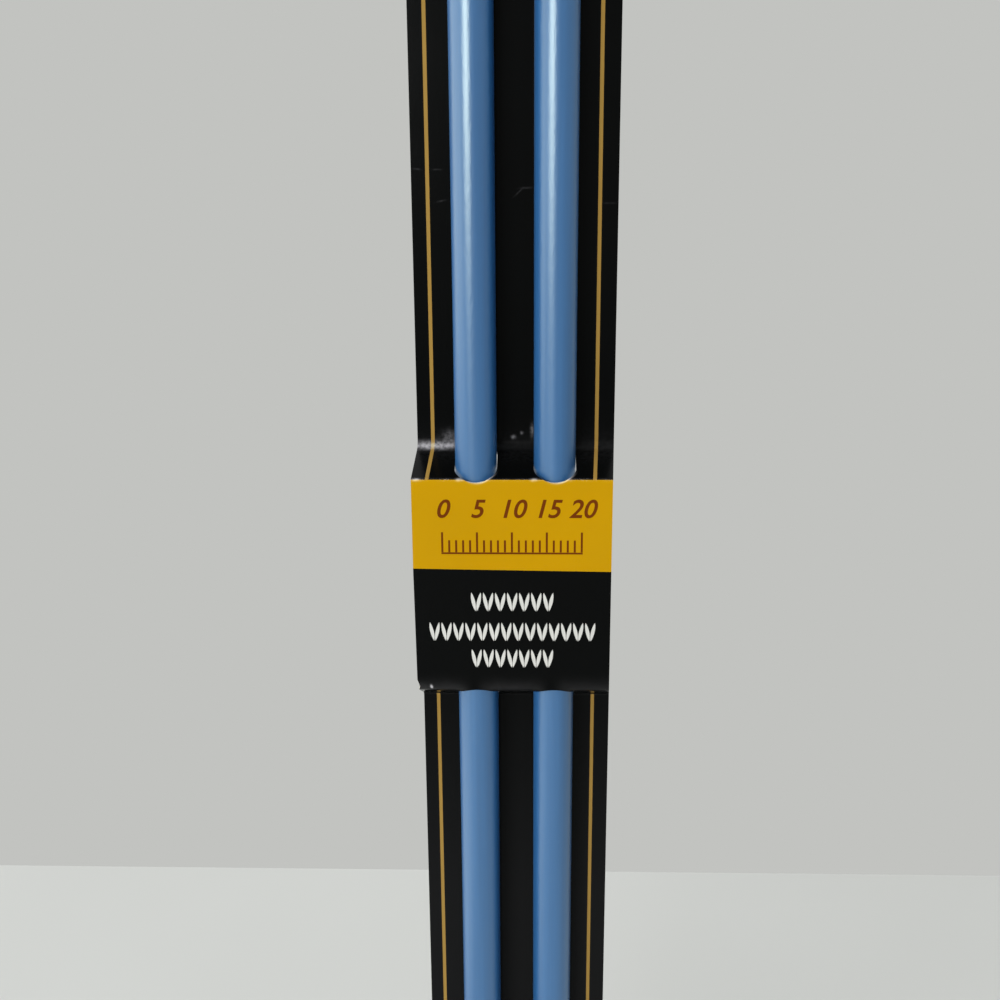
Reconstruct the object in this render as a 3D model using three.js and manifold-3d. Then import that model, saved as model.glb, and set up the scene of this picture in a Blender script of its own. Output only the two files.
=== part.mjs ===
// A pair of straight knitting needles on their card, in millimetres.
// +Z runs up along the needles and the front faces -Y. The origin is the middle of the
// hang hole, on the front face of the card's header.
import * as THREE from "three";
import { mergeVertices } from "three/addons/utils/BufferGeometryUtils.js";
import Module from "manifold-3d";

const wasm = await Module();
wasm.setup();

// Needles
const needleDiameter = 6.0;
const needleLength = 355;
const pointLength = 16;
const tipRadius = 0.9;
const tailChamfer = 0.4;

// Caps, one on each needle's tail
const capHeight = 8.5;
const capWall = 0.8;
const capFlange = 0.75;
const capCollarHeight = 3.2;
const capFilletRadius = 0.6;
const capDomeHeight = 1.4;
const capSocketDepth = 5.6;
const socketClearance = 0.15;

// Card, one strip of board
const board = 0.45;
const cardMargin = 5.35;
const cardCornerRadius = 2.5;
const hangHoleDiameter = 8.0;
const headerTopMargin = 10;
const headerLowerMargin = 18;
const railCreaseRadius = 2.0;
const windowCornerRadius = 1.5;
const windowHeadroom = 5.2;
const ledgeLand = 0.8;

// Bands, where the strip is folded forward over the needles
const creaseRadius = 1.5;
const foldInnerRadius = 0.15;
const lipRadius = 2.5;
const heelRadius = 1.0;
const slopeDrop = 3.2;
const underDrop = 3.5;
const upperFaceHeight = 25;
const middleFaceHeight = 32.4;
const lowerFaceHeight = 19;
const upperOpenLength = 110;
const pointExposure = 27;
const tipMargin = 9.8;

// Fits and clearances
const capGap = 1.9;
const capSeat = 0.3;
const capToHeader = 0.55;
const windowSideClearance = 0.75;
const needleToCard = 0.15;
const needleToFace = 0.25;
const needleToSlot = 0.3;
const slotDip = 0.5;
const slotHeel = 1.2;
const cutMargin = 0.1;

// Smoothness of the round forms
const turnSteps = 24;
const ballSteps = 3;
const ogiveSteps = 8;
const roundSteps = 4;
const outlineSteps = 8;
const foldStep = THREE.MathUtils.degToRad(24);
const slotEndSteps = 4;
const leastStep = 0.1;
const leastHalfWidth = 0.001;
const mergeDistance = 0.00001;

// Sizes that follow from the ones above
const needleRadius = needleDiameter / 2;
const capSocketRadius = needleRadius + socketClearance;
const capCollarRadius = capSocketRadius + capWall;
const capRadius = capCollarRadius + capFlange;
const needlePitch = 2 * capRadius + capGap;
const slotRadius = needleRadius + needleToSlot;
const cardWidth = needlePitch + 2 * slotRadius + 2 * cardMargin;
const windowHalfWidth = needlePitch / 2 + capRadius + windowSideClearance;
const foldRadius = board + foldInnerRadius;

const needleStandOff = needleToCard + needleRadius;
const faceStandOff = needleStandOff + needleRadius + needleToFace + board;
const headerSetBack = capRadius - needleStandOff + capToHeader;
const cardFaceY = -headerSetBack;
const needleY = cardFaceY - needleStandOff;

const cardTop = hangHoleDiameter / 2 + headerTopMargin;
const windowTop = -hangHoleDiameter / 2 - headerLowerMargin;
const ledgeTop = windowTop - windowHeadroom - capHeight - capSeat;
const capBottom = ledgeTop + capSeat;
const needleTip = capBottom + capHeight - needleLength;
const tailTop = capBottom + capSocketDepth;
const cardBottom = needleTip - tipMargin;

const upperBandTop = ledgeTop - ledgeLand - slotHeel;
const upperBandHeight = slopeDrop + upperFaceHeight + underDrop;
const middleBandTop = upperBandTop - upperBandHeight - upperOpenLength;
const lowerBandHeight = slopeDrop + lowerFaceHeight + underDrop;
const lowerBandTop = needleTip + pointExposure + lowerBandHeight;
const bands = [
  { top: upperBandTop, faceHeight: upperFaceHeight },
  { top: middleBandTop, faceHeight: middleFaceHeight },
  { top: lowerBandTop, faceHeight: lowerFaceHeight },
];

// Joining and cutting

function solidFrom(geometry) {
  geometry.deleteAttribute("normal");
  geometry.deleteAttribute("uv");
  const merged = mergeVertices(geometry, mergeDistance);
  const index = merged.index.array;
  const triangles = [];
  for (let i = 0; i < index.length; i += 3) {
    const [a, b, c] = [index[i], index[i + 1], index[i + 2]];
    if (a !== b && b !== c && c !== a) triangles.push(a, b, c);
  }
  const mesh = new wasm.Mesh({
    numProp: 3,
    vertProperties: new Float32Array(merged.attributes.position.array),
    triVerts: new Uint32Array(triangles),
  });
  return new wasm.Manifold(mesh);
}

function geometryFrom(solid) {
  const mesh = solid.getMesh();
  const geometry = new THREE.BufferGeometry();
  geometry.setAttribute("position", new THREE.BufferAttribute(mesh.vertProperties, 3));
  geometry.setIndex(new THREE.BufferAttribute(mesh.triVerts, 1));
  geometry.computeVertexNormals();
  return geometry;
}

// A shape drawn in side view, with Y across and Z up, drawn out along X about x = 0.
function extrudeAlongX(shape, width) {
  const geometry = new THREE.ExtrudeGeometry(shape, { depth: width, bevelEnabled: false });
  const [xAxis, yAxis, zAxis] = [0, 1, 2].map((i) => new THREE.Vector3().setComponent(i, 1));
  geometry.applyMatrix4(new THREE.Matrix4().makeBasis(yAxis, zAxis, xAxis));
  return geometry.translate(-width / 2, 0, 0);
}

// A shape drawn in front view, with X across and Z up, drawn out along Y about y = 0.
function extrudeAlongY(shape, depth) {
  const settings = { depth, bevelEnabled: false, curveSegments: outlineSteps };
  const geometry = new THREE.ExtrudeGeometry(shape, settings);
  return geometry.rotateX(Math.PI / 2).translate(0, depth / 2, 0);
}

// A body turned about Z. The profile's points give radius and height, from the axis up.
function turn(profile) {
  const points = profile.map(([radius, height]) => new THREE.Vector2(radius, height));
  return new THREE.LatheGeometry(points, turnSteps).rotateX(Math.PI / 2);
}

function arcPoints(centre, radius, from, to, steps) {
  const points = [];
  for (let i = 0; i <= steps; i += 1) {
    const angle = THREE.MathUtils.degToRad(from + ((to - from) * i) / steps);
    points.push([centre[0] + radius * Math.cos(angle), centre[1] + radius * Math.sin(angle)]);
  }
  return points;
}

// The folded strip, seen from the side. Each corner is a fold with its own radius on the
// front face. A mark gives a fold's name, so that the slots can be set out from it.

function bandCorners({ top, faceHeight }, index) {
  const frontY = cardFaceY - faceStandOff;
  const faceTop = top - slopeDrop;
  const faceBottom = faceTop - faceHeight;
  return [
    { y: cardFaceY, z: top, radius: creaseRadius, mark: `crease${index}` },
    { y: frontY, z: faceTop, radius: foldRadius, mark: `fold${index}` },
    { y: frontY, z: faceBottom, radius: lipRadius, mark: `lip${index}` },
    { y: cardFaceY, z: faceBottom - underDrop, radius: heelRadius, mark: `heel${index}` },
  ];
}

const cardCorners = [
  { y: 0, z: cardTop },
  { y: 0, z: windowTop, radius: railCreaseRadius },
  { y: cardFaceY, z: ledgeTop, radius: railCreaseRadius },
  ...bands.flatMap(bandCorners),
  { y: cardFaceY, z: cardBottom },
];

// Rounds the corners and returns stations down the strip. Each station has its distance
// along the front face and the unit normal that points out of the front.
function stationsAlong(corners) {
  const flat = corners.map(({ y, z }) => new THREE.Vector2(y, z));
  const stations = [];
  corners.forEach(({ radius, mark }, i) => {
    const here = flat[i];
    if (radius === undefined) {
      stations.push({ point: here });
      return;
    }
    const arriving = here.clone().sub(flat[i - 1]).normalize();
    const leaving = flat[i + 1].clone().sub(here).normalize();
    const turned = Math.atan2(arriving.cross(leaving), arriving.dot(leaving));
    const side = Math.sign(turned);
    const start = here.clone().addScaledVector(arriving, -radius * Math.tan(Math.abs(turned) / 2));
    const across = new THREE.Vector2(-arriving.y, arriving.x);
    const centre = start.clone().addScaledVector(across, side * radius);
    const steps = Math.ceil(Math.abs(turned) / (2 * foldStep)) * 2;
    for (let k = 0; k <= steps; k += 1) {
      const point = start.clone().rotateAround(centre, (turned * k) / steps);
      stations.push({ point, mark: k === steps / 2 ? mark : undefined });
    }
  });
  let along = 0;
  stations.forEach((station, i) => {
    if (i > 0) along += station.point.distanceTo(stations[i - 1].point);
    station.along = along;
  });
  stations.forEach((station, i) => {
    const before = stations[Math.max(i - 1, 0)].point;
    const after = stations[Math.min(i + 1, stations.length - 1)].point;
    const first = station.point.clone().sub(before).normalize();
    const second = after.clone().sub(station.point).normalize();
    const down = first.add(second).normalize();
    const half = i > 0 && i < stations.length - 1 ? down.dot(second) : 1;
    station.outward = new THREE.Vector2(down.y, -down.x).divideScalar(half);
  });
  return stations;
}

const stations = stationsAlong(cardCorners);

function offsetPoint(station, height) {
  return station.point.clone().addScaledVector(station.outward, height);
}

function foldedStrip() {
  const front = stations.map((station) => offsetPoint(station, 0));
  const back = stations.map((station) => offsetPoint(station, -board)).reverse();
  return extrudeAlongX(new THREE.Shape([...front, ...back]), cardWidth);
}

// The card's front view: its outline, the hang hole and the window for the caps.

function roundedRectangle(target, left, bottom, right, top, radius) {
  target.moveTo(left + radius, bottom);
  target.lineTo(right - radius, bottom);
  target.absarc(right - radius, bottom + radius, radius, -Math.PI / 2, 0);
  target.lineTo(right, top - radius);
  target.absarc(right - radius, top - radius, radius, 0, Math.PI / 2);
  target.lineTo(left + radius, top);
  target.absarc(left + radius, top - radius, radius, Math.PI / 2, Math.PI);
  target.lineTo(left, bottom + radius);
  target.absarc(left + radius, bottom + radius, radius, Math.PI, 1.5 * Math.PI);
  return target;
}

function frontView() {
  const side = cardWidth / 2;
  const outline = roundedRectangle(new THREE.Shape(), -side, cardBottom, side, cardTop, cardCornerRadius);
  const hangHole = new THREE.Path().absarc(0, 0, hangHoleDiameter / 2, 0, 2 * Math.PI);
  const capWindow = roundedRectangle(
    new THREE.Path(), -windowHalfWidth, ledgeTop, windowHalfWidth, windowTop, windowCornerRadius,
  );
  outline.holes.push(hangHole, capWindow);
  return extrudeAlongY(outline, 2 * (headerSetBack + faceStandOff + cutMargin));
}

// A round-ended slot punched through the strip while it was flat, then folded with it.

function slotCutter(x, firstMark, startOverrun, lastMark, endOverrun) {
  const start = stations.find(({ mark }) => mark === firstMark).along - startOverrun;
  const end = stations.find(({ mark }) => mark === lastMark).along + endOverrun;
  const places = stations.map(({ along }) => along).filter((along) => along > start && along < end);
  for (let k = 0; k <= slotEndSteps; k += 1) {
    const reach = slotRadius * (1 - Math.cos((k / slotEndSteps) * (Math.PI / 2)));
    places.push(start + reach, end - reach);
  }
  places.sort((a, b) => a - b);
  const rings = places.filter((place, i) => i === 0 || place - places[i - 1] > leastStep);

  const [inFront, behind] = [cutMargin, -board - cutMargin];
  const corners = [[-1, inFront], [1, inFront], [1, behind], [-1, behind]];
  const positions = [];
  for (const along of rings) {
    const next = stations.findIndex((station) => station.along >= along);
    const [above, below] = [stations[next - 1], stations[next]];
    const share = (along - above.along) / (below.along - above.along);
    const inset = Math.max(0, slotRadius - Math.min(along - start, end - along));
    const halfWidth = Math.max(Math.sqrt(slotRadius ** 2 - inset ** 2), leastHalfWidth);
    for (const [side, height] of corners) {
      const point = offsetPoint(above, height).lerp(offsetPoint(below, height), share);
      positions.push(x + side * halfWidth, point.x, point.y);
    }
  }
  const index = [0, 1, 2, 0, 2, 3];
  for (let ring = 0; ring < rings.length - 1; ring += 1) {
    for (let k = 0; k < 4; k += 1) {
      const [a, b] = [4 * ring + k, 4 * ring + ((k + 1) % 4)];
      index.push(a, a + 4, b, b, a + 4, b + 4);
    }
  }
  const last = 4 * (rings.length - 1);
  index.push(last, last + 2, last + 1, last, last + 3, last + 2);
  const geometry = new THREE.BufferGeometry();
  geometry.setAttribute("position", new THREE.Float32BufferAttribute(positions, 3));
  geometry.setIndex(index);
  return geometry;
}

function cardSolid() {
  let card = solidFrom(foldedStrip()).intersect(solidFrom(frontView()));
  for (const i of bands.keys()) {
    for (const x of [-needlePitch / 2, needlePitch / 2]) {
      const upperSlot = slotCutter(x, `crease${i}`, slotHeel, `fold${i}`, slotDip);
      const lowerSlot = slotCutter(x, `lip${i}`, slotDip, `heel${i}`, slotHeel);
      card = card.subtract(solidFrom(upperSlot)).subtract(solidFrom(lowerSlot));
    }
  }
  return card;
}

// Needle, drawn with its cap's underside at height 0. Angles are from straight out, upwards.

// The point is a small ball, which an ogive leaves at its side and takes up to the shaft.
const ballStart = -65;
const ballSide = -20;
const ogivePower = 0.9;

function shaftGeometry() {
  const tip = needleTip - capBottom;
  const tail = tailTop - capBottom;
  const shoulder = tip + pointLength;
  const ball = arcPoints([0, tip + tipRadius], tipRadius, ballStart, ballSide, ballSteps);
  const [sideRadius, sideHeight] = ball.at(-1);
  const ogive = [];
  for (let i = 1; i <= ogiveSteps; i += 1) {
    const share = i / ogiveSteps;
    const swell = Math.sin((share * Math.PI) / 2) ** ogivePower;
    ogive.push([
      sideRadius + (needleRadius - sideRadius) * swell,
      sideHeight + (shoulder - sideHeight) * share,
    ]);
  }
  return turn([
    [0, tip],
    ...ball,
    ...ogive,
    [needleRadius, tail - tailChamfer],
    [needleRadius - tailChamfer, tail],
    [0, tail],
  ]);
}

// The disc above the collar has a round below and one above, and a low dome on top.
const lowerRound = [-80, 0];
const upperRound = [15, 75];

function capGeometry() {
  const discRadius = capRadius - capFilletRadius;
  const discBottom = capCollarHeight + capFilletRadius;
  const discTop = capHeight - capDomeHeight - capFilletRadius;
  const domePoint = (share) => [share * capRadius, capHeight - capDomeHeight * share ** 2];
  return turn([
    [0, capSocketDepth],
    [capSocketRadius, capSocketDepth],
    [capSocketRadius, 0],
    [capCollarRadius, 0],
    [capCollarRadius, capCollarHeight],
    ...arcPoints([discRadius, discBottom], capFilletRadius, ...lowerRound, roundSteps),
    [capRadius, discTop],
    ...arcPoints([discRadius, discTop], capFilletRadius, ...upperRound, roundSteps),
    domePoint(0.5),
    domePoint(0),
  ]);
}

// The assembly

const cardInk = new THREE.MeshStandardMaterial({ color: 0x10120f, roughness: 0.35, metalness: 0 });
const bluePlastic = new THREE.MeshStandardMaterial({ color: 0x5b86b8, roughness: 0.38, metalness: 0 });

function named(name, geometry, material) {
  const mesh = new THREE.Mesh(geometry, material);
  mesh.name = name;
  return mesh;
}

const pair = new THREE.Group();
pair.add(named("card", geometryFrom(cardSolid()), cardInk));
for (const [side, x] of [["left", -needlePitch / 2], ["right", needlePitch / 2]]) {
  const needle = new THREE.Group();
  needle.position.set(x, needleY, capBottom);
  needle.add(named(`${side}_needle_shaft`, geometryFrom(solidFrom(shaftGeometry())), bluePlastic));
  needle.add(named(`${side}_needle_cap`, geometryFrom(solidFrom(capGeometry())), bluePlastic));
  pair.add(needle);
}

export default pair;
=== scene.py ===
# %% [markdown]
# # A pair of straight knitting needles on their folded card
# Two blue plastic needles hang side by side in a long strip of printed board. The strip is folded
# forward into three raised bands, and the needles pass behind the bands through round-ended slots.
# The packed CAD model is the frame that everything here is built around: it is loaded once and
# never moved. Lengths are written in millimetres, and MM turns them into Blender's metres.

# %% Load the frame
import math

import bpy
import numpy as np
from mathutils import Matrix, Vector
from mathutils.geometry import delaunay_2d_cdt


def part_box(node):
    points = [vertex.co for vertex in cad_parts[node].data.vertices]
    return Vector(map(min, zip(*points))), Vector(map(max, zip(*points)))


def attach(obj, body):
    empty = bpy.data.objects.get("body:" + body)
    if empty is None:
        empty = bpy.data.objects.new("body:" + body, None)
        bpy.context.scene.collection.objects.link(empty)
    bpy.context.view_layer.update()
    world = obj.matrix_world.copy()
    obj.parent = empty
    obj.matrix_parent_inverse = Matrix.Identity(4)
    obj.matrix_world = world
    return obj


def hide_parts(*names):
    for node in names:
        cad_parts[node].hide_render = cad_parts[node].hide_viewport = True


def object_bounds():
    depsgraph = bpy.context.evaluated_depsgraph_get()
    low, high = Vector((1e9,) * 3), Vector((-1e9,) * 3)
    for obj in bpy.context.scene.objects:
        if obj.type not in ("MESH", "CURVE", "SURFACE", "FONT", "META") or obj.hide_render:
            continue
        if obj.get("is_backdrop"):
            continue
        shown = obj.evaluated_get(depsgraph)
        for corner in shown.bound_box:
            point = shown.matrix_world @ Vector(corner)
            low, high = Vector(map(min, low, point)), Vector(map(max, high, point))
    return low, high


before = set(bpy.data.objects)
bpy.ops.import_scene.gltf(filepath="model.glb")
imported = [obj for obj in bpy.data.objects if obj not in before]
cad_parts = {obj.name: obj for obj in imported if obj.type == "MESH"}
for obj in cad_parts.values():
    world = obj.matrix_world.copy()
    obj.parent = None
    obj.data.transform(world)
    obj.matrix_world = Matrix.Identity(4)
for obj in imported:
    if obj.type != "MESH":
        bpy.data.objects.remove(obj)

MM = 0.001
cad_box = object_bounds()
print("CAD box, mm:", [[round(v / MM, 2) for v in corner] for corner in cad_box])

# %% [markdown]
# ## Sizes from the frame
# A model stays true to its frame when it asks the frame for sizes instead of repeating them. The
# boxes of the shafts, caps and card give the needles' radius, their axes and ends, and the card's
# outline.

# %% Measure the needles and the card
SIDES = ("left", "right")


def box_mm(node):
    """The lowest and highest corner of a CAD node, in millimetres."""
    return [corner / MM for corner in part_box(node)]


shaft_low, shaft_high = box_mm("left_needle_shaft")
cap_low, cap_high = box_mm("left_needle_cap")
card_low, card_high = box_mm("card")
needle_radius = (shaft_high.x - shaft_low.x) / 2
cap_radius = (cap_high.x - cap_low.x) / 2
needle_y = (shaft_low.y + shaft_high.y) / 2
needle_x = {side: sum(corner.x for corner in box_mm(f"{side}_needle_shaft")) / 2 for side in SIDES}
half_card = card_high.x
axes = ", ".join(f"{x:.2f}" for x in needle_x.values())
print(f"needle radius {needle_radius:.2f}, axes at x {axes} and y {needle_y:.2f}")
print(f"card {2 * half_card:.2f} wide, from z {card_low.z:.1f} to {card_high.z:.1f}")

# %% [markdown]
# ## Camera
# The picture is taken from close by, a little above the middle band, which is why the strip seems
# to narrow downwards. A short distance with a normal lens gives that strong perspective. The three
# angles turn the camera down, to the left, and a touch out of level.

# %% Place the camera
camera_place = Vector((2.80, -172.66, -139.58))
camera_down = math.radians(15.79)
camera_left = math.radians(1.72)
camera_roll = math.radians(-0.38)
lens_mm = 43.2
sensor_mm = 36
nearest_seen = 10

camera = bpy.data.objects.new("camera", bpy.data.cameras.new("camera"))
bpy.context.scene.collection.objects.link(camera)
turn = Matrix.Rotation(camera_left, 4, "Z") @ Matrix.Rotation(math.pi / 2 - camera_down, 4, "X")
turn = turn @ Matrix.Rotation(camera_roll, 4, "Z")
camera.matrix_world = Matrix.Translation(camera_place * MM) @ turn
camera.data.lens = lens_mm
camera.data.sensor_width = sensor_mm
camera.data.clip_start = nearest_seen * MM
bpy.context.scene.camera = camera
bpy.context.scene.view_settings.view_transform = "Standard"
print("camera looks along", [round(v, 3) for v in turn.to_3x3() @ Vector((0, 0, -1))])

# %% [markdown]
# ## Shader maths as Python
# Blender's shader editor adds, multiplies and mixes with nodes, and a long formula becomes a
# tangle of them. A small class that stands for one output socket can overload Python's operators,
# so that `1 - mask * 0.5` adds its own Math nodes. Everything else comes from one method, `node`.

# %% Wrap a socket
class Wire:
    """One output of a node. Sums and products of wires add Math nodes."""

    def __init__(self, nodes, socket):
        self.nodes = nodes
        self.socket = socket

    def math(self, operation, first, second):
        """A Math node that works on two wires or numbers."""
        return self.nodes.node("ShaderNodeMath", {"operation": operation}, {0: first, 1: second})

    def __add__(self, other):
        return self.math("ADD", self, other)

    def __sub__(self, other):
        return self.math("SUBTRACT", self, other)

    def __rsub__(self, other):
        return self.math("SUBTRACT", other, self)

    def __mul__(self, other):
        return self.math("MULTIPLY", self, other)

    def __truediv__(self, other):
        return self.math("DIVIDE", self, other)

    def __rtruediv__(self, other):
        return self.math("DIVIDE", other, self)

    def __pow__(self, other):
        return self.math("POWER", self, other)

    def __rpow__(self, other):
        return self.math("POWER", other, self)

    __radd__ = __add__
    __rmul__ = __mul__

    def most(self, other):
        """The larger of two values."""
        return self.math("MAXIMUM", self, other)


reflected = [name for name in vars(Wire) if name.startswith("__r")]
print("operators that also take a wire on their right:", reflected)

# %% Add nodes to a tree
class Nodes:
    """A node tree, with one method that adds any node."""

    def __init__(self, tree):
        self.tree = tree

    def node(self, kind, settings=None, inputs=None, output=0):
        """Adds a node, sets it up, feeds its sockets, and returns one of its outputs."""
        made = self.tree.nodes.new(kind)
        for name, value in (settings or {}).items():
            if name == "stops":
                self.set_stops(made.color_ramp.elements, value)
            else:
                setattr(made, name, value)
        for name, value in (inputs or {}).items():
            self.feed(made.inputs[name], value)
        return Wire(self, made.outputs[output])

    def set_stops(self, elements, stops):
        """Moves the two stops that a new ramp has, each to a position and a grey."""
        for element, (position, grey) in zip(elements, stops):
            element.position = position
            element.color = (grey, grey, grey, 1.0)

    def feed(self, socket, value):
        """Links a wire to a socket, or sets a plain value on it."""
        if isinstance(value, Wire):
            self.tree.links.new(value.socket, socket)
        else:
            socket.default_value = value

    def blend(self, share, first, second):
        """A colour between first, where share is 0, and second, where it is 1."""
        # A Mix node keeps its two colour inputs at places 6 and 7 and its colour output at 2.
        inputs = {"Factor": share, 6: first, 7: second}
        return self.node("ShaderNodeMix", {"data_type": "RGBA"}, inputs, output=2)

    def noise(self, place, scale, detail=2.0):
        """Smooth noise from 0 to 1. The scale is in waves for each unit of place."""
        inputs = {"Vector": place, "Scale": scale, "Detail": detail}
        return self.node("ShaderNodeTexNoise", None, inputs)

    def ramp(self, value, start, end):
        """A colour ramp from black to white: 0 up to start, and 1 from end on."""
        return self.node("ShaderNodeValToRGB", {"stops": ((start, 0.0), (end, 1.0))}, {0: value})


print("what a tree can do:", [name for name in vars(Nodes) if not name.startswith("_")])

# %% Write colours as a screen shows them
def shown(red, green, blue):
    """A colour as a screen shows it, 0 to 255, in Blender's linear numbers."""
    # The standard screen curve is a short straight line, and above it a shifted power.
    shares = [channel / 255 for channel in (red, green, blue)]
    return (*(s / 12.92 if s <= 0.04045 else ((s + 0.055) / 1.055) ** 2.4 for s in shares), 1.0)


print("mid grey 128 is", round(shown(128, 128, 128)[0], 3), "in linear light")

# %% [markdown]
# ## Starting a finish
# Every finish below starts the same way: a new material, its Principled shader, and constants that
# are set on the shader's own sockets. What varies over the surface is linked afterwards. The paper
# that the floor is laid with is the plainest of them: it is matt, and its pale grey is faintly
# cloudy.

# %% Start a finish
class Finish(Nodes):
    """A material with one Principled shader."""

    def __init__(self, name, **constants):
        self.material = bpy.data.materials.new(name)
        self.material.use_nodes = True
        super().__init__(self.material.node_tree)
        self.shader = self.tree.nodes["Principled BSDF"]
        self.set(**constants)

    def set(self, **values):
        """Feeds the shader's sockets, named with _ for each space."""
        for name, value in values.items():
            self.feed(self.shader.inputs[name.replace("_", " ")], value)

    def bump(self, height, distance):
        """Turns a height of 0 to 1 into relief of that many metres."""
        inputs = {"Height": height, "Distance": distance}
        self.set(Normal=self.node("ShaderNodeBump", None, inputs))

    def object_place(self, *stretch):
        """The object's own coordinates, in millimetres, times a stretch for each axis."""
        inputs = {0: self.node("ShaderNodeTexCoord", output=3), 1: [s / MM for s in stretch]}
        return self.node("ShaderNodeVectorMath", {"operation": "MULTIPLY"}, inputs)


matt_paper = {"Roughness": 0.85, "Specular_IOR_Level": 0.2}
cloud_scale = 0.006

paper = Finish("pale_floor", **matt_paper)
cloud = paper.noise(paper.object_place(1, 1, 1), cloud_scale, detail=3.0)
paper.set(Base_Color=paper.blend(cloud, shown(207, 209, 206), shown(215, 217, 214)))
print(paper.material.name, "is made of", len(paper.tree.nodes), "nodes")

# %% [markdown]
# ## Floor and background
# A product picture needs a calm, pale place. The floor is a plain slab that ends behind the object,
# so its far edge draws the low line where floor and background meet. The background's colour
# belongs to the world, and only the camera, mirrors and glass see it at full strength: the light
# that the world sends onto the object is weaker, so that the lamps can shape it.

# %% Lay the floor and colour the world
floor_drop = 8
floor_reach = 1500
floor_behind = 229
backdrop_colour = shown(194, 195, 192)
ambient = 0.24

floor_z = card_low.z - floor_drop
corners = [(-floor_reach, -floor_reach), (floor_reach, -floor_reach)]
corners += [(floor_reach, floor_behind), (-floor_reach, floor_behind)]

floor_mesh = bpy.data.meshes.new("floor")
floor_mesh.from_pydata([Vector((x, y, floor_z)) * MM for x, y in corners], [], [(0, 1, 2, 3)])
floor = bpy.data.objects.new("floor", floor_mesh)
bpy.context.scene.collection.objects.link(floor)
floor.data.materials.append(paper.material)
floor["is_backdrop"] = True

world = bpy.data.worlds.new("studio")
bpy.context.scene.world = world
world.use_nodes = True
sky = Nodes(world.node_tree)
ray_kinds = ("Is Camera Ray", "Is Glossy Ray", "Is Transmission Ray")
camera_ray, glossy_ray, through_ray = (
    sky.node("ShaderNodeLightPath", output=kind) for kind in ray_kinds)
seen = camera_ray.most(glossy_ray).most(through_ray)
background = world.node_tree.nodes["Background"]
sky.feed(background.inputs["Color"], backdrop_colour)
sky.feed(background.inputs["Strength"], ambient + seen * (1 - ambient))
print(f"floor at z {floor_z:.0f} mm, background {[round(c, 2) for c in backdrop_colour[:3]]}")

# %% [markdown]
# ## Lamps
# Round glossy things are drawn by what they mirror. A low, wide lamp at the front left makes the
# long pale line on each needle. It hangs just above the middle band, so that only the upper half
# of the needles can mirror it, and the line fades out on the way down. Its beam is narrowed, which
# keeps the floor right under it from burning out. A weaker lamp on the far left whitens that whole
# side, and a low strip near the floor does the same for the lower half, which looks down and would
# mirror only the floor. A soft lamp overhead lights the floor and the folds, and one behind fills
# the bare back. Each lamp is given by its direction from the middle band.

# %% Hang the lamps
middle = Vector((0, needle_y, -185))


def hang_lamp(name, azimuth, elevation, distance, width, height, brightness, beam=180):
    """A rectangular lamp. Azimuth 0 is in front of the object and 90 at its left, in degrees."""
    lamp = bpy.data.lights.new(name, "AREA")
    lamp.shape = "RECTANGLE"
    lamp.size = width * MM
    lamp.size_y = height * MM
    # The power that gives every lamp's surface the brightness asked for, whatever its size.
    lamp.energy = brightness * math.pi * lamp.size * lamp.size_y
    lamp.spread = math.radians(beam)
    if beam < 180:
        # A narrowed beam is stronger along its axis. This takes that gain away again.
        half_beam = lamp.spread / 2
        lamp.energy *= 1 - half_beam / math.tan(half_beam)
    hung = bpy.data.objects.new(name, lamp)
    bpy.context.scene.collection.objects.link(hung)
    turned, raised = math.radians(azimuth), math.radians(elevation)
    flat = math.cos(raised)
    way = Vector((-math.sin(turned) * flat, -math.cos(turned) * flat, math.sin(raised)))
    hung.location = (middle + way * distance) * MM
    hung.rotation_euler = way.to_track_quat("Z", "Y").to_euler()
    hung.visible_camera = False


# After its name, each lamp has its azimuth, elevation, distance, width, height and brightness.
hang_lamp("front_lamp", 25, 10.4, 1000, 500, 260, 15.2, beam=120)
hang_lamp("side_lamp", 84, 5, 1050, 1290, 540, 1.75)
hang_lamp("low_lamp", 82, -41, 245, 260, 90, 0.9, beam=100)
hang_lamp("top_lamp", 20, 85, 1500, 2600, 2600, 1.16)
hang_lamp("back_lamp", 170, 25, 900, 600, 600, 2.0)

# %% [markdown]
# ## Needle plastic
# The needles are moulded in a pearly sky-blue plastic with a satin skin. Pearl pigment is drawn out
# along the mould, so the colour changes in long faint streaks. Noise that is stretched along the
# needle gives those streaks, and the same noise makes the gloss slightly uneven. Flakes of pearl
# also mirror more than plain plastic does, with a hint of green, so the index is raised and the
# mirrored light is tinted.

# %% Make the pearly plastic
streak_stretch, streak_scale = 0.02, 0.9
skin_stretch, skin_scale, skin_relief = 0.3, 2.2, 0.02
flow_range = 0.3, 0.7
satin, satin_change = 0.30, 0.04
pearl = {"Specular_IOR_Level": 1.0, "IOR": 1.57, "Specular_Tint": (0.86, 1.0, 0.9, 1.0)}


def pearly_plastic(name, base, pale):
    """A satin plastic that streaks from a base colour to a paler one."""
    finish = Finish(name, **pearl)
    streaks = finish.noise(finish.object_place(1, 1, streak_stretch), streak_scale, detail=3.0)
    flow = finish.ramp(streaks, *flow_range)
    finish.set(Base_Color=finish.blend(flow, base, pale))
    finish.set(Roughness=satin + flow * satin_change)
    skin = finish.noise(finish.object_place(1, 1, skin_stretch), skin_scale)
    finish.bump(skin, skin_relief * MM)
    return finish.material


shaft_plastic = pearly_plastic("pearly_blue_shaft", shown(42, 95, 149), shown(48, 103, 159))
cap_plastic = pearly_plastic("pearly_blue_cap", shown(40, 91, 143), shown(45, 98, 152))
print("plastics:", shaft_plastic.name, "and", cap_plastic.name)

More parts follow.
